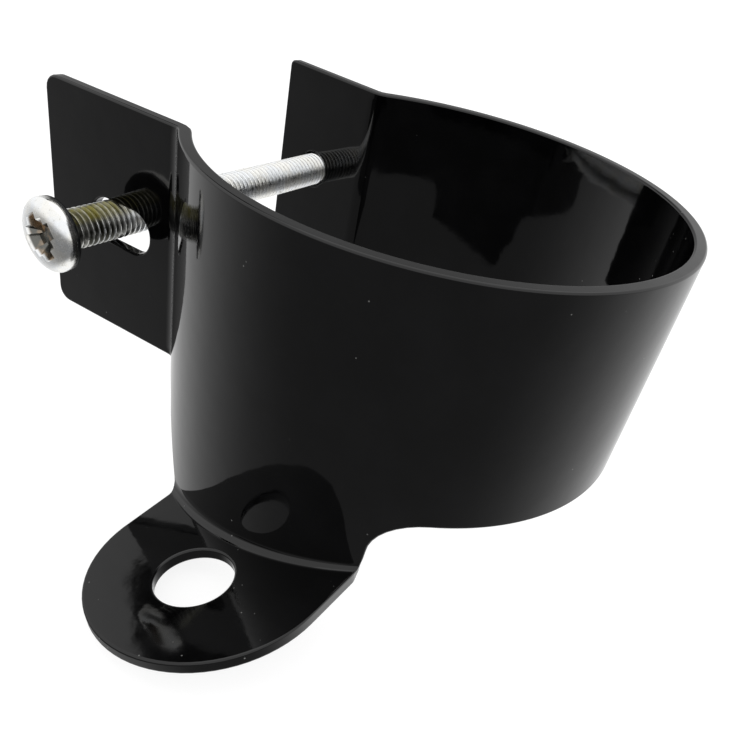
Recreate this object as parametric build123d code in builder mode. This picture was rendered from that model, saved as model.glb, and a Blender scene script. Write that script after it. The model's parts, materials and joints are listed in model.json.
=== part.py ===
from build123d import *
from math import cos, radians, sin, sqrt, tan
import os

# Strap clamp bracket for a cylindrical canister.
#
# One formed steel strap makes an open ring with two ears, and a round-ended mounting foot hangs on a
# neck below the ring. A pan-head machine screw with a thin washer runs through a slot in the near ear
# into a nut on the back of the far ear, and draws the ears together.
#
# Frame, in millimetres: +Z is the ring's axis and Z = 0 its lower edge. The ears point to -X, the
# screw runs along Y with its head on the -Y side, and the foot stands out to -Y.

# ---- strap ----
sheet = 1.6             # steel with its coat
strap_height = 30.0     # ring and ears along Z
ring_inner_r = 30.0
ring_mid_r = ring_inner_r + sheet / 2
ring_outer_r = ring_inner_r + sheet
near_wrap = 135.5       # degrees of ring from +X round to the near ear's bend
far_wrap = 138.0        # the same for the far ear, on the +Y side
ear_splay = 3.0         # degrees that each ear opens outwards
bend_r = 2.0            # at mid thickness, ring to ear
near_ear_end = -44.1    # X of the near ear's free edge
far_ear_end = -41.3
near_corner_r = 1.8
far_corner_r = 0.8

# ---- slot in the near ear, hole in the far ear ----
slot_length = 9.8
slot_width = 5.5
slot_centre_x = -32.05
far_hole_r = 2.75

# ---- neck and foot ----
foot_width = 30.2
foot_drop = 11.54       # depth of the foot's top face on the ring's Y axis, at fold_y
fold_y = -30.0
foot_rise_x = 0.231     # rise of the top face per mm of X
foot_rise_y = 0.070     # rise per mm of Y
foot_end_y = -36.4      # centre of the round end
foot_hole_x = -0.45     # along the foot's width, from the ring's Y axis
foot_hole_y = -39.1
foot_hole_r = 4.75
fold_inner_r = 1.2
fold_outer_r = fold_inner_r + sheet
neck_depth = 19.0       # below the ring's lower edge, before the foot trims it
neck_left_top_x = -19.7
neck_left_top_z = -5.6
neck_left_flare_x = -20.1
neck_left_flare_z = -2.4
neck_fillet_r = 5.2
neck_flare_r = 2.0

# ---- screw, washer and nut ----
screw_x = -34.1
screw_z = strap_height / 2
thread_r = 2.45         # at the crests
screw_length = 55.0     # under the head
tip_chamfer = 0.6
head_r = 4.5
head_height = 2.2
head_rim = 0.55         # straight part of the head's edge
recess_r = 2.8
recess_depth = 1.6
recess_taper = 8.0
cross_width = 1.5
recess_angle = 128.0    # turn of the cross from X, seen from the head
washer_r = 4.45
washer_hole_r = 2.5
washer_thick = 0.5
washer_front_y = -29.86  # washer's face towards the near ear, with the screw part way out
nut_across_flats = 8.0
nut_thick = 4.0
nut_bore_r = 2.5        # running clearance on the thread's crests
nut_chamfer = 0.5

os.makedirs("parts", exist_ok=True)


def strap_line(wrap_deg, end_x, side):
    """Mid-thickness line of one half of the strap, from +X round the ring to the ear's free edge."""
    wrap = radians(wrap_deg)
    splay = radians(ear_splay)
    ring_end = (ring_mid_r * cos(wrap), side * ring_mid_r * sin(wrap))
    half_way = (ring_mid_r * cos(wrap / 2), side * ring_mid_r * sin(wrap / 2))
    bend_centre = ((ring_mid_r + bend_r) * cos(wrap), side * (ring_mid_r + bend_r) * sin(wrap))
    ear_start = (bend_centre[0] - bend_r * sin(splay), bend_centre[1] - side * bend_r * cos(splay))
    ear_run = (ear_start[0] - end_x) / cos(splay)
    ear_end = (end_x, ear_start[1] + side * ear_run * sin(splay))
    mid_angle = (wrap + radians(90) - splay) / 2
    bend_mid = (bend_centre[0] - bend_r * cos(mid_angle), bend_centre[1] - side * bend_r * sin(mid_angle))
    ThreePointArc((ring_mid_r, 0), half_way, ring_end)
    ThreePointArc(ring_end, bend_mid, ear_start)
    Line(ear_start, ear_end)
    return ear_start, ear_end


def ear_y(ear_start, side, x):
    """Y of an ear's mid thickness at X."""
    return ear_start[1] + side * (ear_start[0] - x) * tan(radians(ear_splay))


def corners_at(part, end_x, side):
    """Short edges across the sheet at the free end of one ear."""
    return [
        edge
        for edge in part.edges()
        if abs(edge.length - sheet) < 0.05
        and abs(edge.center().X - end_x) < 0.3
        and edge.center().Y * side > 0
    ]


def fold_edge(part, radius):
    """Edge of the fold between neck and foot that lies on a ring surface of the given radius."""
    return [
        edge
        for edge in part.edges()
        if edge.geom_type == GeomType.ELLIPSE
        and edge.length > foot_width - 1
        and abs(Vector((edge @ 0.5).X, (edge @ 0.5).Y, 0).length - radius) < 0.01
    ]


# The foot's top face: a plane tilted about Y and, a little, about X.
foot_top = Plane(
    origin=(0, fold_y, -foot_drop),
    x_dir=(1 + foot_rise_y**2, -foot_rise_x * foot_rise_y, foot_rise_x),
    z_dir=(-foot_rise_x, -foot_rise_y, 1),
)
along_foot = sqrt(1 + foot_rise_y**2)
foot_side_x = foot_width / 2 * foot_top.x_dir.X
foot_left_z = -foot_drop - foot_rise_x * foot_side_x
upright_sheet = sheet / foot_top.z_dir.Z

# ---- formed strap: ring, ears, neck and foot ----
with BuildPart() as strap_bracket:
    with BuildSketch(Plane.XY):
        with BuildLine():
            near_start, near_end = strap_line(near_wrap, near_ear_end, -1)
            far_start, far_end = strap_line(far_wrap, far_ear_end, 1)
        trace(line_width=sheet)
    extrude(amount=strap_height)

    # free corners of both ears
    fillet(corners_at(strap_bracket, near_ear_end, -1), radius=near_corner_r)
    fillet(corners_at(strap_bracket, far_ear_end, 1), radius=far_corner_r)

    # slot in the near ear, square to its face
    ear_direction = Vector(*near_start) - Vector(*near_end)
    slot_plane = Plane(
        origin=(slot_centre_x, ear_y(near_start, -1, slot_centre_x), screw_z),
        x_dir=ear_direction,
        z_dir=Vector(0, 0, 1).cross(ear_direction),
    )
    with BuildSketch(slot_plane):
        SlotOverall(slot_length, slot_width)
    extrude(amount=2 * sheet, both=True, mode=Mode.SUBTRACT)

    # hole in the far ear, in line with the screw
    with BuildSketch(Plane.XZ.offset(-ear_y(far_start, 1, screw_x))):
        with Locations((screw_x, screw_z)):
            Circle(far_hole_r)
    extrude(amount=2 * sheet, both=True, mode=Mode.SUBTRACT)

    # neck: the ring's wall carried down below its lower edge
    with BuildSketch(Plane.XY.offset(-neck_depth)):
        Circle(ring_outer_r)
        Circle(ring_inner_r, mode=Mode.SUBTRACT)
        with Locations((0, ring_outer_r / 2)):
            Rectangle(3 * ring_outer_r, 2 * ring_outer_r, mode=Mode.SUBTRACT)
    extrude(amount=neck_depth)

    # right edge of the neck: straight down, with a fillet into the ring's lower edge
    with BuildSketch(Plane.XZ):
        with BuildLine():
            FilletPolyline(
                (ring_outer_r + 1, 0),
                (foot_side_x, 0),
                (foot_side_x, -neck_depth - 1),
                (ring_outer_r + 1, -neck_depth - 1),
                close=True,
                radius=(0, neck_fillet_r, 0, 0),
            )
        make_face()
    extrude(amount=2 * ring_outer_r, mode=Mode.SUBTRACT)

    # left edge of the neck: leans out to a short flare that runs into the near ear's bend
    with BuildSketch(Plane.XZ):
        with BuildLine():
            FilletPolyline(
                (-ring_outer_r - 1, 0),
                (ring_outer_r * cos(radians(near_wrap)), 0),
                (neck_left_flare_x, neck_left_flare_z),
                (neck_left_top_x, neck_left_top_z),
                (-foot_side_x, foot_left_z),
                (-foot_side_x, -neck_depth - 1),
                (-ring_outer_r - 1, -neck_depth - 1),
                close=True,
                radius=(0, 0, neck_flare_r, neck_flare_r, 0, 0, 0),
            )
        make_face()
    extrude(amount=2 * ring_outer_r, mode=Mode.SUBTRACT)

    # everything of the neck below the foot's lower face
    with BuildSketch(foot_top.offset(-sheet)):
        Rectangle(3 * ring_outer_r, 3 * ring_outer_r)
    extrude(amount=-neck_depth, mode=Mode.SUBTRACT)

    # foot: a plate with a round end, from inside the ring's wall outwards
    with BuildSketch(foot_top):
        with BuildLine():
            Polyline(
                (-foot_width / 2, (foot_end_y - fold_y) * along_foot),
                (-foot_width / 2, ring_inner_r / 2),
                (foot_width / 2, ring_inner_r / 2),
                (foot_width / 2, (foot_end_y - fold_y) * along_foot),
            )
            ThreePointArc(
                (foot_width / 2, (foot_end_y - fold_y) * along_foot),
                (0, (foot_end_y - fold_y) * along_foot - foot_width / 2),
                (-foot_width / 2, (foot_end_y - fold_y) * along_foot),
            )
        make_face()
    extrude(amount=upright_sheet, dir=(0, 0, -1))
    with BuildSketch(Plane.XY):
        Circle(ring_inner_r)
    extrude(amount=-2 * neck_depth, mode=Mode.SUBTRACT)
    with BuildSketch(foot_top):
        with Locations((foot_hole_x, (foot_hole_y - fold_y) * along_foot)):
            Circle(foot_hole_r)
    extrude(amount=sheet, both=True, mode=Mode.SUBTRACT)

    # the fold between neck and foot, inside and outside
    fillet(fold_edge(strap_bracket, ring_outer_r), radius=fold_inner_r)
    fillet(fold_edge(strap_bracket, ring_inner_r), radius=fold_outer_r)

# ---- clamp screw: pan head with a cross recess, threaded to the head ----
seat_y = washer_front_y - washer_thick
head_top_y = seat_y - head_height
with BuildPart() as clamp_screw:
    with BuildSketch(Plane.XY.offset(screw_z)):
        with BuildLine():
            EllipticalCenterArc(
                (screw_x, seat_y - head_rim),
                x_radius=head_r,
                y_radius=head_height - head_rim,
                start_angle=270,
                arc_size=90,
            )
            Polyline(
                (screw_x + head_r, seat_y - head_rim),
                (screw_x + head_r, seat_y),
                (screw_x + thread_r, seat_y),
                (screw_x + thread_r, seat_y + screw_length - tip_chamfer),
                (screw_x + thread_r - tip_chamfer, seat_y + screw_length),
                (screw_x, seat_y + screw_length),
                (screw_x, head_top_y),
            )
        make_face()
    revolve(axis=Axis((screw_x, 0, screw_z), (0, 1, 0)))
    recess_plane = Plane(origin=(screw_x, head_top_y, screw_z), x_dir=(1, 0, 0), z_dir=(0, -1, 0))
    with BuildSketch(recess_plane.rotated((0, 0, recess_angle))):
        Rectangle(2 * recess_r, cross_width)
        Rectangle(cross_width, 2 * recess_r)
    extrude(amount=-recess_depth, taper=recess_taper, mode=Mode.SUBTRACT)

# ---- washer under the head ----
with BuildPart() as screw_washer:
    with BuildSketch(Plane.XZ.offset(-washer_front_y)):
        with Locations((screw_x, screw_z)):
            Circle(washer_r)
            Circle(washer_hole_r, mode=Mode.SUBTRACT)
    extrude(amount=washer_thick)

# ---- nut welded to the back of the far ear ----
far_face_y = ear_y(far_start, 1, screw_x) + sheet / 2 / cos(radians(ear_splay))
with BuildPart() as clamp_nut:
    with BuildSketch(Plane.XZ.offset(-far_face_y - nut_thick)):
        with Locations((screw_x, screw_z)):
            RegularPolygon(nut_across_flats / 2, 6, major_radius=False, rotation=30)
            Circle(nut_bore_r, mode=Mode.SUBTRACT)
    extrude(amount=nut_thick + sheet)
    ear_face = Plane(
        origin=(screw_x, far_face_y, screw_z),
        x_dir=(0, 0, 1),
        z_dir=(sin(radians(ear_splay)), cos(radians(ear_splay)), 0),
    )
    split(bisect_by=ear_face, keep=Keep.TOP)
    chamfer(clamp_nut.faces().sort_by(Axis.Y)[-1].outer_wire().edges(), length=nut_chamfer)

strap_bracket.part.label = "strap_bracket"
clamp_screw.part.label = "clamp_screw"
screw_washer.part.label = "screw_washer"
clamp_nut.part.label = "clamp_nut"

export_step(strap_bracket.part, "parts/strap_bracket.step")
export_step(clamp_screw.part, "parts/clamp_screw.step")
export_step(screw_washer.part, "parts/screw_washer.step")
export_step(clamp_nut.part, "parts/clamp_nut.step")
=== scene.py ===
import json
import math

import bmesh
import bpy
import numpy as np
from mathutils import Matrix, Vector
from mathutils.geometry import delaunay_2d_cdt


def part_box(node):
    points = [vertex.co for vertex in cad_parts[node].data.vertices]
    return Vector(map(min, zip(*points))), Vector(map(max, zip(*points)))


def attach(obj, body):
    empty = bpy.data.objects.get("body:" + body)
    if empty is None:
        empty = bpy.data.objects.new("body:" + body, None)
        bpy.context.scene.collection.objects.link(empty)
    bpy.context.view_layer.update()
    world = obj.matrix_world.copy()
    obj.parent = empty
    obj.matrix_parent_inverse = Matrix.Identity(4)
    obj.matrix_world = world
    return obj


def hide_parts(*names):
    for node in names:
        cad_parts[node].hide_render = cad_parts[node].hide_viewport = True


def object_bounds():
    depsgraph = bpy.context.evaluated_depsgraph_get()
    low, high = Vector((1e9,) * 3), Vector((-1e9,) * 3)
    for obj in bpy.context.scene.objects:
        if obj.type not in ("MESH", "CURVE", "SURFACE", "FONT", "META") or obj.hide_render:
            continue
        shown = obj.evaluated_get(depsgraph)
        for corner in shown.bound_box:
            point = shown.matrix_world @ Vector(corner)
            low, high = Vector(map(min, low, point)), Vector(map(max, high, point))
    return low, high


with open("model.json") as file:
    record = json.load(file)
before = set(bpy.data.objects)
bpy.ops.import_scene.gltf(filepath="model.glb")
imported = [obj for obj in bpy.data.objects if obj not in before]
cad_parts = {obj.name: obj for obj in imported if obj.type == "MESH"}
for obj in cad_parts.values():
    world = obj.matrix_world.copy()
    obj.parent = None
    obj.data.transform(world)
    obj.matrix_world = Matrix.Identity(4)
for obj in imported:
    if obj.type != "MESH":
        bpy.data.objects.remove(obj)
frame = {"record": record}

CAD_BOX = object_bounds()
MM = 0.001

# ---------------------------------------------------------------------------
# Driving dimensions, in millimetres in the CAD frame. What the record states
# is read from it; the rest repeats the CAD source.
# ---------------------------------------------------------------------------
MOUNTS = {m["name"]: m for m in frame["record"]["mounts"]}
RING = MOUNTS["canister_clamp"]
HOLE = MOUNTS["foot_hole"]

SHEET = HOLE["dims"]["length_mm"]
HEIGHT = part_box("strap_bracket")[1].z / MM
RING_R = RING["dims"]["r_mm"] + SHEET / 2          # at mid thickness
RING_OUTER_R = RING["dims"]["r_mm"] + SHEET
NEAR_WRAP = math.radians(135.5)
FAR_WRAP = math.radians(138.0)
SPLAY = math.radians(3.0)
BEND_R = 2.0
NEAR_END_X = -44.1
FAR_END_X = -41.3
NEAR_CORNER_R = 1.8
FAR_CORNER_R = 0.8
EDGE_R = 0.32                                      # coated edge
EDGE_ROWS = 5                                      # rows of points round half an edge

SLOT_X = -32.05
SLOT_LENGTH = 9.8
SLOT_WIDTH = 5.5
FAR_HOLE_R = 2.75

FOOT_DROP = 11.54
FOLD_Y = -30.0
RISE_X = 0.231
RISE_Y = 0.070
FOOT_WIDTH = 30.2
FOOT_END_Y = -36.4
FOOT_HOLE_X = -0.45
FOOT_HOLE_Y = -39.1
FOOT_HOLE_R = HOLE["dims"]["r_mm"]
FOLD_R = 2.0                                       # at mid thickness
NECK_FILLET_R = 5.2
NECK_LEFT = [(-22.6, 0, 2.5), (-20.2, -2.2, 3.0), (-19.6, -6.0, 5.0)]      # x, z, corner radius
NECK_RIGHT_INSET = 0.15
NECK_RIGHT_Z = -7.5                                # where the neck's right side turns to the foot
FOOT_SHOULDER_R = 4.0                              # where the neck's sides run into the foot

SCREW_LO, SCREW_HI = (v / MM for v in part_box("clamp_screw"))
SCREW_X = (SCREW_LO.x + SCREW_HI.x) / 2
SCREW_Z = (SCREW_LO.z + SCREW_HI.z) / 2
HEAD_R = (SCREW_HI.x - SCREW_LO.x) / 2
HEAD_HEIGHT = 2.2
HEAD_RIM = 0.55                                    # straight part of the head's edge
HEAD_EDGE_R = 0.12
SEAT_Y = SCREW_LO.y + HEAD_HEIGHT
TIP_Y = SCREW_HI.y
THREAD_R = 2.45
THREAD_ROOT_R = 2.0
THREAD_TIP_R = 1.75
WASHER_HOLE_R = 2.5
WASHER_EDGE_R = 0.16
NUT_BORE_R = 2.5
NUT_SINK = 0.9                                     # countersink, in radius
NUT_FACE_R = 3.75                                  # flat part of the nut's free face
NUT_CROWN_SLOPE = 0.577
PITCH = 0.8
# one thread turn: part of the pitch, part of the thread's depth
TOOTH = [
    (0.0, 0.0), (0.06, 0.12), (0.30, 0.90), (0.36, 1.0),
    (0.50, 1.0), (0.56, 0.90), (0.80, 0.12), (0.86, 0.0),
]
RECESS_ANGLE = 128.0                               # turn of the head's cross recess from X
RECESS_R = 2.8
RECESS_DEPTH = 1.6
WING_LENGTH = 2 * RECESS_R + 0.5
WING_WIDTH = 2.1
RECESS_SQUARE = 4.2                                # shallow opening between the wings


# ---------------------------------------------------------------------------
# The strap's middle surface. s runs along the strap from the front of the
# ring (its -Y side), positive towards +X; w is the height, and carries on
# along the neck and foot below the ring.
# ---------------------------------------------------------------------------
NEAR_ARC = RING_R * (NEAR_WRAP - math.pi / 2)
FAR_ARC = RING_R * (FAR_WRAP + math.pi / 2)
NEAR_TURN = SPLAY + NEAR_WRAP - math.pi / 2
FAR_TURN = SPLAY + FAR_WRAP - math.pi / 2


def ear_start(wrap):
    """Where the bend ends and the flat ear begins, for an ear on the -Y side."""
    centre = (RING_R + BEND_R) * np.array([math.cos(wrap), -math.sin(wrap)])
    return centre + BEND_R * np.array([-math.sin(SPLAY), math.cos(SPLAY)])


def ear_line(over, wrap, turn):
    """Point and outward normal of an ear on the -Y side, `over` mm past the ring's end."""
    centre = (RING_R + BEND_R) * np.array([math.cos(wrap), -math.sin(wrap)])
    angle = np.clip(over / BEND_R, 0, turn)
    radial = math.pi - wrap
    px = centre[0] + BEND_R * np.cos(radial + angle)
    py = centre[1] + BEND_R * np.sin(radial + angle)
    run = np.maximum(over - BEND_R * turn, 0)
    px = px - run * math.cos(SPLAY)
    py = py - run * math.sin(SPLAY)
    return px, py, -np.cos(radial + angle), -np.sin(radial + angle)


def plan_line(s):
    """X, Y and outward normal of the middle line at s."""
    s = np.asarray(s, float)
    angle = -math.pi / 2 + np.clip(s, -NEAR_ARC, FAR_ARC) / RING_R
    x, y = RING_R * np.cos(angle), RING_R * np.sin(angle)
    nx, ny = np.cos(angle), np.sin(angle)
    ex, ey, enx, eny = ear_line(np.maximum(-NEAR_ARC - s, 0), NEAR_WRAP, NEAR_TURN)
    near = s < -NEAR_ARC
    x, y = np.where(near, ex, x), np.where(near, ey, y)
    nx, ny = np.where(near, enx, nx), np.where(near, eny, ny)
    ex, ey, enx, eny = ear_line(np.maximum(s - FAR_ARC, 0), FAR_WRAP, FAR_TURN)
    far = s > FAR_ARC
    x, y = np.where(far, ex, x), np.where(far, -ey, y)
    nx, ny = np.where(far, enx, nx), np.where(far, -eny, ny)
    return x, y, nx, ny


FOOT_K = math.sqrt(1 + RISE_Y**2)
FOOT_N = np.array([-RISE_X, -RISE_Y, 1.0]) / math.sqrt(1 + RISE_X**2 + RISE_Y**2)
FOOT_XDIR = np.array([1 + RISE_Y**2, -RISE_X * RISE_Y, RISE_X])
FOOT_XDIR = FOOT_XDIR / np.linalg.norm(FOOT_XDIR)
FOLD_TURN = math.acos(RISE_Y / FOOT_K)
FOLD_REACH = FOLD_R * math.tan(FOLD_TURN / 2)
FOLD_ARC = FOLD_R * FOLD_TURN


def foot_mid_z(x, y):
    """Height of the foot's middle plane."""
    return -FOOT_DROP + RISE_X * x + RISE_Y * (y - FOLD_Y) - SHEET / 2 / FOOT_N[2]


def fold_w(s):
    """Where the fold begins below the neck."""
    x, y, _, _ = plan_line(s)
    return foot_mid_z(x, y) + FOLD_REACH


def middle(s, w):
    """Points of the middle surface."""
    x, y, _, _ = plan_line(s)
    w = np.asarray(w, float)
    start = fold_w(s)
    over = np.where(w < 0, np.maximum(start - w, 0), 0)
    turn = np.clip(over / FOLD_R, 0, FOLD_TURN)
    run = np.maximum(over - FOLD_ARC, 0)
    z = np.where(over > 0, start - FOLD_R * np.sin(turn) - run * RISE_Y / FOOT_K, w)
    y = y - np.where(over > 0, FOLD_R * (1 - np.cos(turn)) + run / FOOT_K, 0)
    return np.stack([x, y, z], -1)


def frame_at(s, w):
    """Middle surface point, its unit tangents along s and w, and its outward normal."""
    step = 0.01
    p = middle(s, w)
    ds = middle(s + step, w) - middle(s - step, w)
    dw = middle(s, w + step) - middle(s, w - step)
    n = np.cross(ds, dw)
    n /= np.linalg.norm(n, axis=-1, keepdims=True)
    ds /= np.linalg.norm(ds, axis=-1, keepdims=True)
    dw /= np.linalg.norm(dw, axis=-1, keepdims=True)
    return p, ds, dw, n


def foot_sw(x, y):
    """(s, w) of the point of the foot whose top face is at X, Y."""
    x = x - FOOT_N[0] * SHEET / 2
    y = y - FOOT_N[1] * SHEET / 2
    y0 = -np.sqrt(RING_R**2 - x * x)
    s = RING_R * np.arcsin(x / RING_R)
    w = foot_mid_z(x, y0) + 2 * FOLD_REACH - FOLD_ARC - (y0 - y) * FOOT_K
    return s, w


def outer_s(x):
    """s of the ring's outer wall at X, on its -Y side."""
    return RING_R * math.asin(x / RING_OUTER_R)


def near_s(x):
    return -(NEAR_ARC + BEND_R * NEAR_TURN) - (ear_start(NEAR_WRAP)[0] - x) / math.cos(SPLAY)


def far_s(x):
    return FAR_ARC + BEND_R * FAR_TURN + (ear_start(FAR_WRAP)[0] - x) / math.cos(SPLAY)


# ---------------------------------------------------------------------------
# Outlines in (s, w)
# ---------------------------------------------------------------------------
def rounded(corners, spacing):
    """Closed outline through corners (s, w, radius), as evenly spaced points."""
    out = []
    count = len(corners)
    for i in range(count):
        p = np.array(corners[i][:2], float)
        a = np.array(corners[i - 1][:2], float) - p
        b = np.array(corners[(i + 1) % count][:2], float) - p
        la, lb = np.linalg.norm(a), np.linalg.norm(b)
        a, b = a / la, b / lb
        opening = math.acos(max(-1.0, min(1.0, float(a @ b))))
        if corners[i][2] <= 0 or opening > math.radians(179.9):
            out.append(p)
            continue
        reach = min(corners[i][2] / math.tan(opening / 2), 0.49 * la, 0.49 * lb)
        radius = reach * math.tan(opening / 2)
        sweep = math.pi - opening
        centre = p + (a + b) / np.linalg.norm(a + b) * (radius / math.sin(opening / 2))
        start, end = p + a * reach - centre, p + b * reach - centre
        steps = max(3, int(radius * sweep / spacing * 1.5))
        for k in range(steps + 1):
            t = k / steps
            v = (math.sin((1 - t) * sweep) * start + math.sin(t * sweep) * end) / math.sin(sweep)
            out.append(centre + v)
    points = []
    for i, p in enumerate(out):
        q = out[(i + 1) % len(out)]
        parts = max(1, int(np.linalg.norm(q - p) / spacing))
        points += [p + (q - p) * k / parts for k in range(parts)]
    return np.array(points)


def strap_outline():
    """Outline of the whole sheet: ears, ring, neck and foot."""
    near_end, far_end = near_s(NEAR_END_X), far_s(FAR_END_X)
    side = FOOT_WIDTH / 2 * FOOT_XDIR[0]
    y_left = -math.sqrt(RING_OUTER_R**2 - side**2)
    right = RING_R * math.asin(side / RING_R) - NECK_RIGHT_INSET
    corners = [(near_end, 0, NEAR_CORNER_R)]
    corners += [(outer_s(x), z, radius) for x, z, radius in NECK_LEFT]
    corners.append((*foot_sw(-side - 0.25, y_left - 0.3), FOOT_SHOULDER_R))
    for angle in np.linspace(math.pi, 2 * math.pi, 41):
        u, v = FOOT_WIDTH / 2 * math.cos(angle), FOOT_WIDTH / 2 * math.sin(angle)
        x = u * FOOT_XDIR[0]
        y = FOOT_END_Y + u * FOOT_XDIR[1] + v / FOOT_K
        corners.append((*foot_sw(x, y), 0))
    corners += [(*foot_sw(side, y_left - 1.0), FOOT_SHOULDER_R), (right, NECK_RIGHT_Z, 0)]
    for angle in np.linspace(math.pi, math.pi / 2, 9):
        x = side + NECK_FILLET_R * (1 + math.cos(angle))
        z = NECK_FILLET_R * (math.sin(angle) - 1)
        corners.append((RING_R * math.asin(x / RING_R), z, 0))
    corners += [
        (far_end, 0, FAR_CORNER_R),
        (far_end, HEIGHT, FAR_CORNER_R),
        (near_end, HEIGHT, NEAR_CORNER_R),
    ]
    return rounded(corners, 0.8)


def slot_outline():
    """The near ear's slot."""
    half, r = SLOT_LENGTH / 2, SLOT_WIDTH / 2
    s = near_s(SLOT_X)
    z = HEIGHT / 2
    corners = [(s - half, z - r), (s - half, z + r), (s + half, z + r), (s + half, z - r)]
    return rounded([(*corner, r * 0.999) for corner in corners], 0.5)


def round_outline(s, w, radius):
    """A round hole in an ear."""
    angle = -np.arange(40) * 2 * math.pi / 40
    return np.stack([s + radius * np.cos(angle), w + radius * np.sin(angle)], -1)


def foot_hole_outline():
    """The foot's hole, round in the foot's plane."""
    angle = -np.arange(64) * 2 * math.pi / 64
    u, v = FOOT_HOLE_R * np.cos(angle), FOOT_HOLE_R * np.sin(angle)
    u = u + FOOT_HOLE_X
    s, w = foot_sw(u * FOOT_XDIR[0], FOOT_HOLE_Y + u * FOOT_XDIR[1] + v / FOOT_K)
    return np.stack([s, w], -1)


def outward(loop):
    """Unit normals of a loop in (s, w), pointing out of the sheet."""
    edge = np.roll(loop, -1, 0) - loop
    edge /= np.linalg.norm(edge, axis=1, keepdims=True)
    mean = edge + np.roll(edge, 1, 0)
    mean /= np.linalg.norm(mean, axis=1, keepdims=True)
    return np.stack([mean[:, 1], -mean[:, 0]], -1)


def inside(points, loop):
    """Which points are inside the closed loop."""
    x, y = points[:, 0], points[:, 1]
    hit = np.zeros(len(points), bool)
    for (x0, y0), (x1, y1) in zip(loop, np.roll(loop, -1, 0)):
        crosses = (y0 > y) != (y1 > y)
        at = (x1 - x0) * (y - y0) / ((y1 - y0) if y1 != y0 else 1e-12) + x0
        hit ^= crosses & (x < at)
    return hit


def mesh_object(name, verts, faces, normals=None):
    """A smooth-shaded object from points in millimetres."""
    mesh = bpy.data.meshes.new(name)
    mesh.from_pydata([tuple(v * MM) for v in verts], [], faces)
    mesh.validate()
    for poly in mesh.polygons:
        poly.use_smooth = True
    if normals is not None:
        mesh.normals_split_custom_set_from_vertices([tuple(n) for n in normals])
    obj = bpy.data.objects.new(name, mesh)
    bpy.context.scene.collection.objects.link(obj)
    return obj


BAND_STEP, BAND_ROW = 1.1, 2.3                     # point spacing on the ring and ears
FINE_STEP, NECK_ROW, FOOT_ROW = 0.9, 0.8, 0.7      # and below the ring
FOLD_ROWS = 9
NECK_S = (-17.1, 17.5)                             # s covered by rows along the fold
FILLETS_S = (-25, 22)                              # s reached by the neck's fillets
FILLETS_W, FOOT_W = -6, -45                        # w reached by the fillets and by the foot


def strap_grid(s_lo, s_hi):
    """Points on and past the sheet: even rows on the band, rows along the fold below it."""
    grid_s = np.arange(s_lo, s_hi, BAND_STEP)
    grid = [(s, w) for s in grid_s for w in np.arange(1.2, HEIGHT - 0.5, BAND_ROW)]
    beside_neck = [s for s in np.arange(*FILLETS_S, FINE_STEP) if abs(s) > 17.6]
    grid += [(s, w) for s in beside_neck for w in np.arange(0.3, FILLETS_W, -NECK_ROW)]
    for s in np.arange(*NECK_S, FINE_STEP):
        fold = fold_w(s)
        grid += [(s, w) for w in np.arange(fold + NECK_ROW, 0.7, NECK_ROW)]
        grid += [(s, w) for w in np.linspace(fold, fold - FOLD_ARC, FOLD_ROWS)]
        grid += [(s, w) for w in np.arange(fold - FOLD_ARC - FOOT_ROW, FOOT_W, -FOOT_ROW)]
    return np.array(grid)


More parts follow.
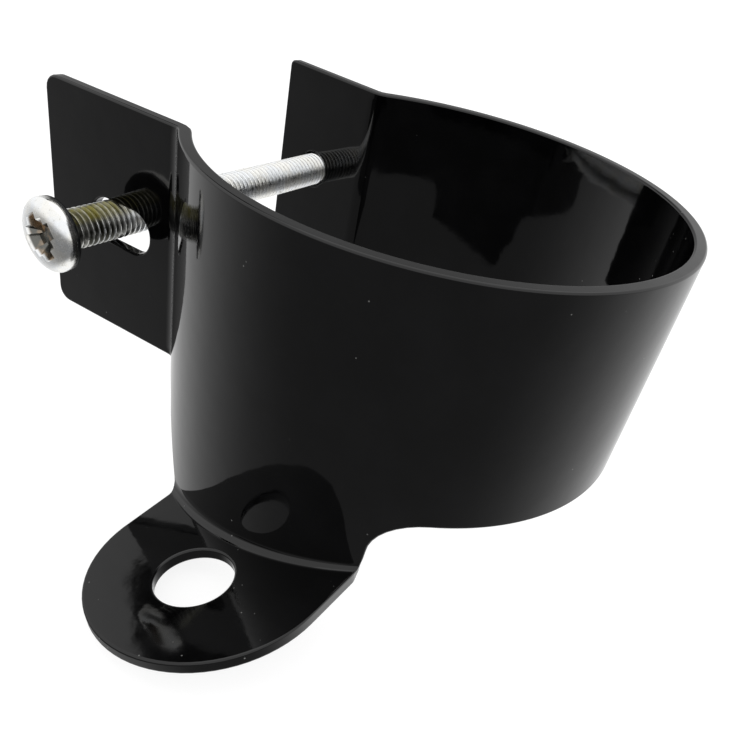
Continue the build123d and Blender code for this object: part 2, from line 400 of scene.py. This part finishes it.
def build_strap():
    """One closed mesh of the formed sheet, its outline and holes rounded over on both faces."""
    loops = [
        strap_outline(),
        slot_outline(),
        round_outline(far_s(SCREW_X), HEIGHT / 2, FAR_HOLE_R),
        foot_hole_outline(),
    ]
    verts, normals, faces = [], [], []
    count = 0
    face_loops = []                                # first row, last row and size of each loop
    for loop in loops:
        out = outward(loop)
        size = len(loop)
        rows = []
        for side in (1, -1):
            order = range(EDGE_ROWS) if side == 1 else range(EDGE_ROWS - 1, -1, -1)
            for k in order:
                roll = math.pi / 2 * k / (EDGE_ROWS - 1)
                d = EDGE_R * (1 - math.sin(roll))
                h = side * (SHEET / 2 - EDGE_R * (1 - math.cos(roll)))
                at = loop - out * d
                p, ds, dw, n = frame_at(at[:, 0], at[:, 1])
                away = ds * out[:, :1] + dw * out[:, 1:]
                away /= np.linalg.norm(away, axis=1, keepdims=True)
                verts.append(p + n * h)
                normals.append(n * side * math.cos(roll) + away * math.sin(roll))
                rows.append(count)
                count += size
        face_loops.append((rows[0], rows[-1], size))
        for a, b in zip(rows, rows[1:]):
            for i in range(size):
                j = (i + 1) % size
                faces.append((a + i, b + i, b + j, a + j))

    # flat faces: a triangulation of the region inside the rounded edges
    flat = [loop - outward(loop) * EDGE_R for loop in loops]
    grid = strap_grid(flat[0][:, 0].min(), flat[0][:, 0].max())
    margin = EDGE_R + 0.45
    keep = inside(grid, loops[0] - outward(loops[0]) * margin)
    for loop in loops[1:]:
        keep &= ~inside(grid, loop - outward(loop) * margin)
    grid = grid[keep]
    plane = [Vector(p) for loop in flat for p in loop] + [Vector(p) for p in grid]
    edges = []
    start = 0
    for loop in flat:
        size = len(loop)
        edges += [(start + i, start + (i + 1) % size) for i in range(size)]
        start += size
    found, _, tris, origin, _, _ = delaunay_2d_cdt(plane, edges, [], 1, 1e-6)
    centres = np.array([np.mean([found[i] for i in t], axis=0) for t in tris])
    solid = inside(centres, flat[0])
    for loop in flat[1:]:
        solid &= ~inside(centres, loop)
    loop_ids = {1: [], -1: []}
    for top, under, size in face_loops:
        loop_ids[1] += list(range(top, top + size))
        loop_ids[-1] += list(range(under, under + size))
    p, _, _, n = frame_at(grid[:, 0], grid[:, 1])
    for side in (1, -1):
        verts.append(p + n * side * SHEET / 2)
        normals.append(n * side)
        loop_ids[side] += list(range(count, count + len(grid)))
        count += len(grid)
    for t, ok in zip(tris, solid):
        if not ok:
            continue
        ids = [origin[i][0] for i in t]
        faces.append(tuple(loop_ids[1][i] for i in ids))
        faces.append(tuple(loop_ids[-1][i] for i in reversed(ids)))
    return mesh_object("strap_formed", np.concatenate(verts), faces, np.concatenate(normals))


# ---------------------------------------------------------------------------
# Turned pieces
# ---------------------------------------------------------------------------
def lathe(name, profile, segments=96):
    """A turned mesh about the screw's axis from (radius, y) points; radius 0 closes an end."""
    verts, faces, rings = [], [], []
    for r, y in profile:
        if r == 0:
            rings.append([len(verts)])
            verts.append((SCREW_X, y, SCREW_Z))
            continue
        rings.append(list(range(len(verts), len(verts) + segments)))
        for i in range(segments):
            a = 2 * math.pi * i / segments
            verts.append((SCREW_X + r * math.cos(a), y, SCREW_Z + r * math.sin(a)))
    closed = len(rings[0]) > 1
    pairs = list(zip(rings, rings[1:])) + ([(rings[-1], rings[0])] if closed else [])
    for a, b in pairs:
        for i in range(segments):
            j = (i + 1) % segments
            quad = [a[i % len(a)], a[j % len(a)], b[j % len(b)], b[i % len(b)]]
            quad = list(dict.fromkeys(quad))
            if len(quad) > 2:
                faces.append(tuple(quad))
    obj = mesh_object(name, np.array(verts), faces)
    tidy_mesh(obj)
    return obj


def tidy_mesh(obj):
    """Outward face normals and no doubled points."""
    bm = bmesh.new()
    bm.from_mesh(obj.data)
    bmesh.ops.remove_doubles(bm, verts=bm.verts, dist=1e-7)
    bmesh.ops.recalc_face_normals(bm, faces=bm.faces)
    bm.to_mesh(obj.data)
    bm.free()


def apply_modifiers(obj):
    """The object's evaluated mesh takes the place of its own."""
    graph = bpy.context.evaluated_depsgraph_get()
    mesh = bpy.data.meshes.new_from_object(obj.evaluated_get(graph))
    obj.modifiers.clear()
    obj.data = mesh
    obj.data.name = obj.name


def arc(cx, cy, rx, ry, a0, a1, count):
    """Points of an elliptical arc, angles in degrees."""
    angles = np.radians(np.linspace(a0, a1, count))
    return [(cx + rx * math.cos(a), cy + ry * math.sin(a)) for a in angles]


def helix(name, segments, start_y, end_y, profile, radius_at):
    """A right-hand thread surface about the screw's axis, flattened to a plane at both ends."""
    per_turn = len(profile)
    turns = int((end_y - start_y) / PITCH) + 2
    columns = segments * turns
    verts = []
    for c in range(columns + segments):
        for offset, depth in profile:
            a = -2 * math.pi * c / segments
            y = start_y - PITCH + PITCH * c / segments + offset * PITCH
            clamped = min(max(y, start_y), end_y)
            r = radius_at(clamped, depth if y == clamped else 1.0)
            verts.append((SCREW_X + r * math.cos(a), clamped, SCREW_Z + r * math.sin(a)))
    faces = []

    def vid(c, k):
        return (c + segments * (k // per_turn)) * per_turn + k % per_turn

    for c in range(columns - 1):
        for k in range(per_turn):
            quad = (vid(c, k), vid(c + 1, k), vid(c + 1, k + 1), vid(c, k + 1))
            ys = [verts[i][1] for i in quad]
            if max(ys) - min(ys) > 1e-9:
                faces.append(quad)
    return mesh_object(name, np.array(verts), faces)


def boolean(obj, other, operation):
    mod = obj.modifiers.new(other.name, "BOOLEAN")
    mod.operation = operation
    mod.solver = "EXACT"
    mod.object = other


def bevel(obj, width_mm, angle_deg):
    mod = obj.modifiers.new("bevel", "BEVEL")
    mod.width = width_mm * MM
    mod.segments = 2
    mod.limit_method = "ANGLE"
    mod.angle_limit = math.radians(angle_deg)


def recess_cutter(name, length, width, depth, end_slope, side_slope):
    """A trough cut down from the head's top; the slopes are how far each wall leans in, in mm."""
    tilt = Matrix.Rotation(math.radians(-RECESS_ANGLE), 4, "Y")
    place = Matrix.Translation((SCREW_X, SEAT_Y - HEAD_HEIGHT, SCREW_Z)) @ tilt
    bm = bmesh.new()
    rows = []
    for y, shrink in ((-1.0, -1.0 / depth), (depth, 1.0)):
        hl = length / 2 - end_slope * shrink
        hw = width / 2 - side_slope * shrink
        corners = ((-hl, -hw), (hl, -hw), (hl, hw), (-hl, hw))
        rows.append([bm.verts.new((x, y, z)) for x, z in corners])
    bm.faces.new(rows[0])
    bm.faces.new(rows[1][::-1])
    for i in range(4):
        j = (i + 1) % 4
        bm.faces.new((rows[0][j], rows[0][i], rows[1][i], rows[1][j]))
    bmesh.ops.recalc_face_normals(bm, faces=bm.faces)
    mesh = bpy.data.meshes.new(name)
    bm.to_mesh(mesh)
    bm.free()
    mesh.transform(place)
    mesh.transform(Matrix.Scale(MM, 4))
    obj = bpy.data.objects.new(name, mesh)
    bpy.context.scene.collection.objects.link(obj)
    return obj


def build_head():
    """Pan head with a cross recess."""
    rim_y = SEAT_Y - HEAD_RIM
    dome = HEAD_HEIGHT - HEAD_RIM
    profile = [(0, SEAT_Y - HEAD_HEIGHT)]
    profile += [(r, y) for r, y in arc(0, rim_y, HEAD_R, -dome, 90, 0, 30)[1:]]
    edge = HEAD_EDGE_R
    profile += arc(HEAD_R - edge, SEAT_Y - edge, edge, edge, 0, 90, 5)
    profile += [(THREAD_ROOT_R, SEAT_Y), (0, SEAT_Y)]
    obj = lathe("screw_head", profile, 128)
    cuts = [
        recess_cutter("cut_wing", WING_LENGTH, WING_WIDTH, RECESS_DEPTH, 1.0, 0.50),
        recess_cutter("cut_cross", WING_WIDTH, 2 * RECESS_R, RECESS_DEPTH, 0.50, 0.9),
        recess_cutter("cut_middle", RECESS_SQUARE, RECESS_SQUARE, RECESS_DEPTH - 0.1, 1.25, 1.25),
    ]
    for cut in cuts:
        boolean(obj, cut, "DIFFERENCE")
    bevel(obj, 0.07, 28)
    apply_modifiers(obj)
    for cut in cuts:
        bpy.data.objects.remove(cut)
    return obj


def thread_radius(y, depth):
    """Radius of the thread at y, tapered at the tip."""
    full = THREAD_ROOT_R + (THREAD_R - THREAD_ROOT_R) * depth
    return min(full, THREAD_TIP_R + TIP_Y - y)


def build_thread():
    """Rolled M5 thread up to the head."""
    obj = helix("screw_thread", 36, SEAT_Y - 0.3, TIP_Y, TOOTH, thread_radius)
    bm = bmesh.new()
    bm.from_mesh(obj.data)
    bmesh.ops.remove_doubles(bm, verts=bm.verts, dist=2e-6)
    loose = [v for v in bm.verts if not v.link_faces]
    bmesh.ops.delete(bm, geom=loose, context="VERTS")
    bmesh.ops.holes_fill(bm, edges=[e for e in bm.edges if e.is_boundary], sides=0)
    bmesh.ops.recalc_face_normals(bm, faces=bm.faces)
    bm.to_mesh(obj.data)
    bm.free()
    return obj


def build_washer():
    """Thin stamped washer, its edges rounded over."""
    lo, hi = (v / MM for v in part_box("screw_washer"))
    outer = (hi.x - lo.x) / 2
    r = WASHER_EDGE_R
    profile = arc(outer - r, hi.y - r, r, r, 0, 90, 5)
    profile += arc(WASHER_HOLE_R + r, hi.y - r, r, r, 90, 180, 5)
    profile += arc(WASHER_HOLE_R + r, lo.y + r, r, r, 180, 270, 5)
    profile += arc(outer - r, lo.y + r, r, r, 270, 360, 5)
    return lathe("washer_stamped", profile, 96)


def build_nut():
    """Hex nut on the far ear: crowned corners, countersunk bore."""
    lo, hi = (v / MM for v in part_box("clamp_nut"))
    flats = (hi.x - lo.x) / 2
    corner = flats / math.cos(math.radians(30))
    verts = []
    for k in range(6):
        a = math.radians(60 * k + 30)
        x, z = SCREW_X + corner * math.cos(a), SCREW_Z + corner * math.sin(a)
        seat = lo.y + (hi.x - x) * math.tan(SPLAY)         # flat against the splayed ear
        verts += [(x, hi.y, z), (x, seat, z)]
    faces = [tuple(range(0, 12, 2)), tuple(range(11, 0, -2))]
    faces += [(2 * k, 2 * k + 1, (2 * k + 3) % 12, (2 * k + 2) % 12) for k in range(6)]
    nut = mesh_object("nut_hex", np.array(verts), faces)
    tidy_mesh(nut)
    face, below, wide = hi.y + 0.001, lo.y - 0.5, corner + 0.6
    shoulder = hi.y - (wide - NUT_FACE_R) * NUT_CROWN_SLOPE
    crown = lathe(
        "nut_crown",
        [(0, face), (NUT_FACE_R, face), (wide, shoulder), (wide, below), (0, below)],
        96,
    )
    bore = lathe(
        "nut_bore",
        [
            (0, hi.y + 0.5),
            (NUT_BORE_R + NUT_SINK, hi.y + 0.5),
            (NUT_BORE_R, hi.y - 0.4),
            (NUT_BORE_R, below),
            (0, below),
        ],
        64,
    )
    boolean(nut, crown, "INTERSECT")
    boolean(nut, bore, "DIFFERENCE")
    bevel(nut, 0.08, 25)
    apply_modifiers(nut)
    bpy.data.objects.remove(crown)
    bpy.data.objects.remove(bore)
    return nut


# ---------------------------------------------------------------------------
# Materials
# ---------------------------------------------------------------------------
# zones of the object, in metres, each from one end of its soft edge to the other
INNER_WALL_RADIUS = (0.0306, 0.0310)               # from the ring's axis
RING_RIGHT_X = (0.020, 0.026)
FOOT_TOP_Z = (-0.011, -0.008)
NEAR_HEAD_Y = (-0.024, -0.017)
OLIVE_X = (-0.0009, -0.0001)                       # from the screw's axis
OLIVE_Z = (0.0010, 0.0017)


class Graph:
    """Short forms for building a node tree."""

    def __init__(self, tree, coords):
        self.tree = tree
        self.tree.nodes.clear()
        self.coords = self.new("ShaderNodeTexCoord").outputs[coords]

    def new(self, kind):
        return self.tree.nodes.new(kind)

    def feed(self, socket, value):
        """Link a node's output to the socket, or set the socket to a constant."""
        if isinstance(value, (int, float)):
            socket.default_value = value
        elif isinstance(value, tuple):
            socket.default_value = (*value, 1.0)
        else:
            self.tree.links.new(value, socket)

    def math(self, op, *values):
        n = self.new("ShaderNodeMath")
        n.operation = op
        for socket, value in zip(n.inputs, values):
            self.feed(socket, value)
        return n.outputs[0]

    def times(self, first, *others):
        for other in others:
            first = self.math("MULTIPLY", first, other)
        return first

    def plus(self, a, b):
        return self.math("ADD", a, b)

    def highest(self, first, *others):
        for other in others:
            first = self.math("MAXIMUM", first, other)
        return first

    def ramp(self, value, lo, hi, out_lo=0.0, out_hi=1.0):
        n = self.new("ShaderNodeMapRange")
        n.interpolation_type = "SMOOTHSTEP"
        limits = {"From Min": lo, "From Max": hi, "To Min": out_lo, "To Max": out_hi}
        for name, limit in limits.items():
            n.inputs[name].default_value = limit
        self.feed(n.inputs["Value"], value)
        return n.outputs[0]


class Nodes(Graph):
    """A material with one Principled shader."""

    def __init__(self, name):
        self.material = bpy.data.materials.new(name)
        self.material.use_nodes = True
        super().__init__(self.material.node_tree, "Object")
        self.shader = self.new("ShaderNodeBsdfPrincipled")
        output = self.new("ShaderNodeOutputMaterial")
        self.feed(output.inputs[0], self.shader.outputs[0])

    def noise(self, size_mm, detail=2.0, rough=0.5):
        n = self.new("ShaderNodeTexNoise")
        n.inputs["Scale"].default_value = 1.0 / (size_mm * MM)
        n.inputs["Detail"].default_value = detail
        n.inputs["Roughness"].default_value = rough
        self.feed(n.inputs["Vector"], self.coords)
        return n.outputs["Fac"]

    def cells(self, size_mm):
        n = self.new("ShaderNodeTexVoronoi")
        n.inputs["Scale"].default_value = 1.0 / (size_mm * MM)
        self.feed(n.inputs["Vector"], self.coords)
        return n.outputs["Distance"]

    def along(self, axis):
        n = self.new("ShaderNodeSeparateXYZ")
        self.feed(n.inputs[0], self.coords)
        return n.outputs[axis]

    def length(self, a, b):
        """Distance from an axis, from the two coordinates across it."""
        return self.math("SQRT", self.plus(self.times(a, a), self.times(b, b)))

    def mix(self, factor, a, b):
        n = self.new("ShaderNodeMix")
        n.data_type = "RGBA"
        self.feed(n.inputs["Factor"], factor)
        self.feed(n.inputs[6], a)
        self.feed(n.inputs[7], b)
        return n.outputs[2]

    def bump(self, height, distance_mm, normal=None):
        n = self.new("ShaderNodeBump")
        n.inputs["Strength"].default_value = 1.0
        n.inputs["Distance"].default_value = distance_mm * MM
        self.feed(n.inputs["Height"], height)
        if normal is not None:
            self.feed(n.inputs["Normal"], normal)
        return n.outputs[0]

    def set(self, **values):
        names = {
            "color": "Base Color",
            "metallic": "Metallic",
            "roughness": "Roughness",
            "ior": "IOR",
            "normal": "Normal",
            "specular": "Specular IOR Level",
            "glow": "Emission Strength",
            "glow_color": "Emission Color",
        }
        for key, value in values.items():
            self.feed(self.shader.inputs[names[key]], value)
        return self.material


def black_coat(name):
    """Gloss black coat: orange peel, faint haze, dust mostly on the foot and inside the ring."""
    m = Nodes(name)
    haze = m.noise(7.0, 4.0, 0.6)

    # dust settles on the foot and inside the ring's +X side, and is rare elsewhere
    specks = m.ramp(m.cells(1.5), 0.035, 0.085, 1.0, 0.0)
    x, y, z = (m.along(axis) for axis in "XYZ")
    inside_ring = m.ramp(m.length(x, y), *INNER_WALL_RADIUS, 1.0, 0.0)
    in_ring = m.times(inside_ring, m.ramp(x, *RING_RIGHT_X))
    on_foot = m.ramp(z, *FOOT_TOP_Z, 1.0, 0.0)
    settled = m.highest(m.times(on_foot, 0.17), m.times(in_ring, 0.26))
    where = m.ramp(m.plus(m.noise(4.0, 2.0), settled), 0.60, 0.68)
    dust = m.times(specks, where)

    color = m.mix(m.ramp(haze, 0.35, 0.7), (0.0006, 0.0006, 0.0007), (0.0016, 0.0016, 0.0018))
    color = m.mix(dust, color, (0.16, 0.16, 0.155))
    rough = m.plus(m.ramp(haze, 0.3, 0.75, 0.04, 0.08), m.times(dust, 0.5))
    wave = m.bump(m.noise(4.5, 1.0), 0.024)
    peel = m.bump(m.noise(1.1, 1.5, 0.45), 0.0030, normal=wave)
    return m.set(color=color, roughness=rough, normal=peel, ior=1.5, specular=0.5)


def bright_zinc():
    """Bright zinc plate: yellow and blue passivation, painted shade in the recess and in the
    thread's roots, and a dull, yellowed stretch near the head.
    """
    m = Nodes("bright_zinc")
    tint = m.noise(2.6, 3.0, 0.6)
    fine = m.noise(0.5, 3.0, 0.6)
    x, y, z = (m.along(axis) for axis in "XYZ")
    off_x = m.math("SUBTRACT", x, SCREW_X * MM)
    off_z = m.math("SUBTRACT", z, SCREW_Z * MM)
    radius = m.length(off_x, off_z)

    # the recess: below the dome of the head
    part = m.math("DIVIDE", radius, HEAD_R * MM)
    level = m.math("SUBTRACT", 1.0, m.times(part, part))
    level = m.math("SQRT", m.highest(level, 0.0))
    dome = m.times(level, (HEAD_HEIGHT - HEAD_RIM) * MM)
    dome_y = m.math("SUBTRACT", (SEAT_Y - HEAD_RIM) * MM, dome)
    depth = m.math("SUBTRACT", y, dome_y)
    in_head = m.ramp(y, (SEAT_Y - 0.3) * MM, (SEAT_Y - 0.1) * MM, 1.0, 0.0)
    in_recess = m.times(in_head, m.ramp(depth, 0.15 * MM, 0.45 * MM))

    # the thread: painted shade in its roots, wider and darker near the head, and a dull, yellowed
    # stretch near the head
    on_thread = m.ramp(y, SEAT_Y * MM, (SEAT_Y + 0.1) * MM)
    # painted shade: the thread's roots darkened all along the thread
    root_shade = m.times(on_thread, m.ramp(radius, 2.05 * MM, 2.35 * MM, 1.0, 0.0))
    near_head = m.times(on_thread, m.ramp(y, *NEAR_HEAD_Y, 1.0, 0.0))
    upper = m.times(m.ramp(off_z, *OLIVE_Z), m.ramp(off_x, *OLIVE_X))
    olive = m.times(near_head, upper, m.ramp(tint, 0.35, 0.6, 0.55, 1.0))
    # painted shade: wider, nearly black roots near the head, varied by the tint noise
    root_shade_near_head = m.times(near_head, m.ramp(radius, 2.30 * MM, 2.46 * MM, 1.0, 0.0))
    root_shade_near_head = m.times(root_shade_near_head, m.ramp(tint, 0.35, 0.55, 0.6, 1.0))
    dull = m.times(near_head, m.ramp(fine, 0.40, 0.60, 0.15, 0.65))

    color = m.mix(m.ramp(tint, 0.38, 0.62), (0.97, 0.96, 0.92), (0.93, 0.95, 0.97))
    color = m.mix(m.ramp(fine, 0.60, 0.75), color, (0.55, 0.53, 0.47))
    color = m.mix(dull, color, (0.30, 0.31, 0.28))
    # painted shade in the thread's roots: light all along, nearly black near the head
    color = m.mix(m.times(root_shade, 0.25), color, (0.05, 0.05, 0.045))
    color = m.mix(root_shade_near_head, color, (0.05, 0.05, 0.04))
    color = m.mix(olive, color, (0.22, 0.20, 0.06))
    # painted shade in the cross recess: dark grey to brown over its floor and walls
    recess_shade = m.mix(m.ramp(tint, 0.44, 0.56), (0.09, 0.09, 0.08), (0.34, 0.25, 0.16))
    color = m.mix(m.times(in_recess, 0.92), color, recess_shade)
    rough = m.plus(m.ramp(fine, 0.3, 0.75, 0.18, 0.32), m.times(on_thread, 0.08))
    marks = m.bump(m.noise(0.35, 3.0, 0.6), 0.006)
    return m.set(color=color, metallic=1.0, roughness=rough, normal=marks)


def dark_washer():
    """Dark oxide on the washer."""
    m = Nodes("dark_washer")
    fine = m.noise(0.6, 3.0, 0.6)
    color = m.mix(m.ramp(fine, 0.4, 0.7), (0.010, 0.011, 0.012), (0.030, 0.030, 0.030))
    rough = m.ramp(fine, 0.3, 0.75, 0.28, 0.45)
    return m.set(color=color, metallic=0.6, roughness=rough, normal=m.bump(fine, 0.008))


def floor_paper():
    """Plain pale floor."""
    m = Nodes("floor_paper")
    grain = m.noise(30.0, 3.0, 0.6)
    color = m.mix(m.ramp(grain, 0.3, 0.7), (0.27, 0.27, 0.27), (0.30, 0.30, 0.30))
    return m.set(color=color, roughness=0.9, specular=0.0, glow=0.85, glow_color=(1.0, 1.0, 1.0))


def paint(obj, material):
    """Give the object one material."""
    obj.data.materials.clear()
    obj.data.materials.append(material)


BLACK = black_coat("black_coat")
NUT_BLACK = black_coat("nut_coat")
ZINC = bright_zinc()
OXIDE = dark_washer()

strap = build_strap()
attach(strap, "bracket")
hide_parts("strap_bracket")
paint(strap, BLACK)

head, thread = build_head(), build_thread()
for piece in (head, thread):
    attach(piece, "screw")
    paint(piece, ZINC)
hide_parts("clamp_screw")

washer = build_washer()
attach(washer, "washer")
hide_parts("screw_washer")
paint(washer, OXIDE)

nut = build_nut()
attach(nut, "bracket")
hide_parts("clamp_nut")
paint(nut, NUT_BLACK)

# ---------------------------------------------------------------------------
# Floor, light and camera
# ---------------------------------------------------------------------------
FLOOR_HALF = 3.0
FLOOR_GAP = 0.0001

floor_z = CAD_BOX[0].z - FLOOR_GAP
floor_mesh = bpy.data.meshes.new("floor")
corners = ((-1, -1), (1, -1), (1, 1), (-1, 1))
floor_mesh.from_pydata(
    [(i * FLOOR_HALF, j * FLOOR_HALF, floor_z) for i, j in corners], [], [(0, 1, 2, 3)]
)
floor = bpy.data.objects.new("floor", floor_mesh)
bpy.context.scene.collection.objects.link(floor)
paint(floor, floor_paper())
floor.visible_glossy = False


def studio_world():
    """Soft white studio all round, dimmer on the side the object faces."""
    world = bpy.data.worlds.new("studio")
    world.use_nodes = True
    g = Graph(world.node_tree, "Generated")

    def lobe(direction, lo, hi, out_lo, out_hi):
        """From out_lo to out_hi as the cosine to a direction goes from lo to hi."""
        dot = g.new("ShaderNodeVectorMath")
        dot.operation = "DOT_PRODUCT"
        g.feed(dot.inputs[0], g.coords)
        dot.inputs[1].default_value = Vector(direction).normalized()
        return g.ramp(dot.outputs["Value"], lo, hi, out_lo, out_hi)

    # how much darker than white each direction is: the room in front, below the horizon
    away = lobe((0.438, -0.899, 0.0), -0.75, 0.65, 0.10, 0.81)
    above = lobe((0, 0, 1), -0.12, 0.14, 1.0, 0.0)
    below = lobe((0, 0, -1), 0.72, 0.90, 1.0, 0.0)
    front = g.times(away, above, below)

    # a dim patch behind, and a dark card up on the left
    behind = lobe((-0.55, 0.75, 0.37), 0.75, 1.0, 0.0, 0.65)
    edge = lobe((0.542, 0.771, 0.334), -0.006, 0.010, 0.0, 0.97)
    spot = lobe((-0.708, 0.392, 0.588), 0.966, 0.978, 0.0, 1.0)
    over = lobe((0, 0, 1), 0.475, 0.500, 0.0, 1.0)
    card = g.times(edge, spot, over)
    light = g.math("SUBTRACT", 1.0, g.highest(front, behind, card))

    # the backdrop itself is plain white
    seen = g.new("ShaderNodeLightPath").outputs["Is Camera Ray"]
    background = g.new("ShaderNodeBackground")
    g.feed(background.inputs["Strength"], g.highest(light, seen))
    g.feed(background.inputs["Color"], (1.0, 1.0, 1.0))
    g.feed(g.new("ShaderNodeOutputWorld").inputs[0], background.outputs[0])
    bpy.context.scene.world = world


def softbox(name, location, target, size, power):
    """A rectangular area light aimed at a point."""
    data = bpy.data.lights.new(name, "AREA")
    data.shape = "RECTANGLE"
    data.size, data.size_y = size
    data.energy = power
    obj = bpy.data.objects.new(name, data)
    bpy.context.scene.collection.objects.link(obj)
    obj.location = location
    obj.rotation_euler = (Vector(target) - Vector(location)).to_track_quat("-Z", "Y").to_euler()


studio_world()
softbox("key", (-0.05, 0.15, 0.80), (0, 0, 0), (1.0, 1.0), 1.2)

CAMERA_AZ = math.radians(-26.27)
CAMERA_EL = math.radians(37.083)
CAMERA_ROLL = math.radians(13.683)
CAMERA_DISTANCE = 0.109251
CAMERA_TARGET = Vector((0.002826, -0.006228, -0.008846))
SENSOR_WIDTH = 36.0
FOCAL_OVER_WIDTH = 1.0386
SHIFT = (-0.01794, 0.11598)

camera_data = bpy.data.cameras.new("camera")
camera_data.sensor_width = SENSOR_WIDTH
camera_data.lens = SENSOR_WIDTH * FOCAL_OVER_WIDTH
camera_data.shift_x, camera_data.shift_y = SHIFT
camera_data.clip_start = 0.005
camera_data.clip_end = 20.0
camera = bpy.data.objects.new("camera", camera_data)
bpy.context.scene.collection.objects.link(camera)
forward = Vector(
    (
        math.sin(CAMERA_AZ) * math.cos(CAMERA_EL),
        math.cos(CAMERA_AZ) * math.cos(CAMERA_EL),
        -math.sin(CAMERA_EL),
    )
)
right = Vector((math.cos(CAMERA_AZ), -math.sin(CAMERA_AZ), 0.0))
up = right.cross(forward)
right, up = (
    math.cos(CAMERA_ROLL) * right + math.sin(CAMERA_ROLL) * up,
    math.cos(CAMERA_ROLL) * up - math.sin(CAMERA_ROLL) * right,
)
turn = Matrix((right, up, -forward)).transposed().to_4x4()
camera.matrix_world = Matrix.Translation(CAMERA_TARGET - forward * CAMERA_DISTANCE) @ turn
bpy.context.scene.camera = camera

bpy.context.scene.view_settings.view_transform = "Standard"
